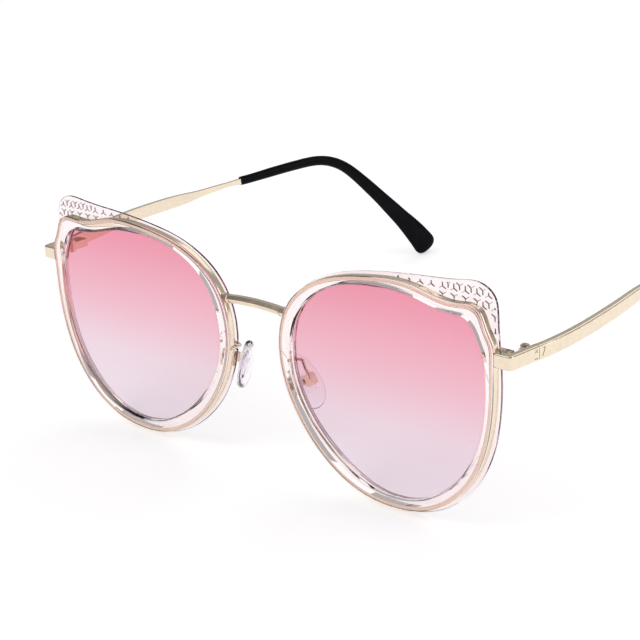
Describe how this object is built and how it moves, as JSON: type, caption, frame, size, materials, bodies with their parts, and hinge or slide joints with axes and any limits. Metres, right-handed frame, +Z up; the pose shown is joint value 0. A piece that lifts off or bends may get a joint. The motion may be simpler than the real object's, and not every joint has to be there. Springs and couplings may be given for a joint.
{
  "type": "cat eye sunglasses",
  "caption": "Cat eye sunglasses: tinted lenses in clear eared rims with a metal eyewire, bridge, rocking nose pads and folding temples with dark tips.",
  "frame": {"origin": "on the surface the open glasses stand on, at the middle of their bounding box", "axes": "+X towards the wearer's left, +Y back towards the ears, +Z up"},
  "size_m": [0.1536, 0.131, 0.0576],
  "materials": {
    "gold_metal": "polished champagne gold plating",
    "screw_steel": "plated, gold toned",
    "clear_plastic": "clear moulding with a faint rose tint, polished",
    "lens_tint": "pink tint fading to almost clear at the bottom, polished",
    "black_acetate": "polished black",
    "clear_silicone": "clear soft silicone",
    "clear_insert": "clear stiff plastic"
  },
  "bodies": {
    "front": {"bridge": "gold_metal", "left_clear_rim": "clear_plastic", "left_eyewire": "gold_metal", "left_lens": "lens_tint", "left_endpiece": "gold_metal", "left_rim_lock_upper": "gold_metal", "left_rim_lock_lower": "gold_metal", "left_rim_screw": "screw_steel", "left_front_hinge": "gold_metal", "left_hinge_screw": "screw_steel", "left_pad_arm": "gold_metal", "left_pad_box": "gold_metal", "left_pad_screw": "screw_steel", "right_clear_rim": "clear_plastic", "right_eyewire": "gold_metal", "right_lens": "lens_tint", "right_endpiece": "gold_metal", "right_rim_lock_upper": "gold_metal", "right_rim_lock_lower": "gold_metal", "right_rim_screw": "screw_steel", "right_front_hinge": "gold_metal", "right_hinge_screw": "screw_steel", "right_pad_arm": "gold_metal", "right_pad_box": "gold_metal", "right_pad_screw": "screw_steel"},
    "left_temple": {"left_temple_bar": "gold_metal", "left_temple_hinge": "gold_metal", "left_temple_tip": "black_acetate"},
    "left_nose_pad": {"left_nose_pad": "clear_silicone", "left_pad_insert": "clear_insert"},
    "right_temple": {"right_temple_bar": "gold_metal", "right_temple_hinge": "gold_metal", "right_temple_tip": "black_acetate"},
    "right_nose_pad": {"right_nose_pad": "clear_silicone", "right_pad_insert": "clear_insert"}
  },
  "joints": [
    {"name": "left_temple_fold", "type": "hinge", "parent": "front", "child": "left_temple", "pos_m": [0.0723, -0.05296, 0.0414], "axis": [0, 0.1032, 0.9947], "range_deg": [0, 81]},
    {"name": "right_temple_fold", "type": "hinge", "parent": "front", "child": "right_temple", "pos_m": [-0.0723, -0.05296, 0.0414], "axis": [0, -0.1032, -0.9947], "range_deg": [0, 75]},
    {"name": "left_pad_rock", "type": "hinge", "parent": "front", "child": "left_nose_pad", "pos_m": [0.0124, -0.05736, 0.02371], "axis": [0.3365, 0.9196, 0.2026], "range_deg": [-8, 8]},
    {"name": "right_pad_rock", "type": "hinge", "parent": "front", "child": "right_nose_pad", "pos_m": [-0.0124, -0.05736, 0.02371], "axis": [-0.3365, 0.9196, 0.2026], "range_deg": [-8, 8]}
  ]
}
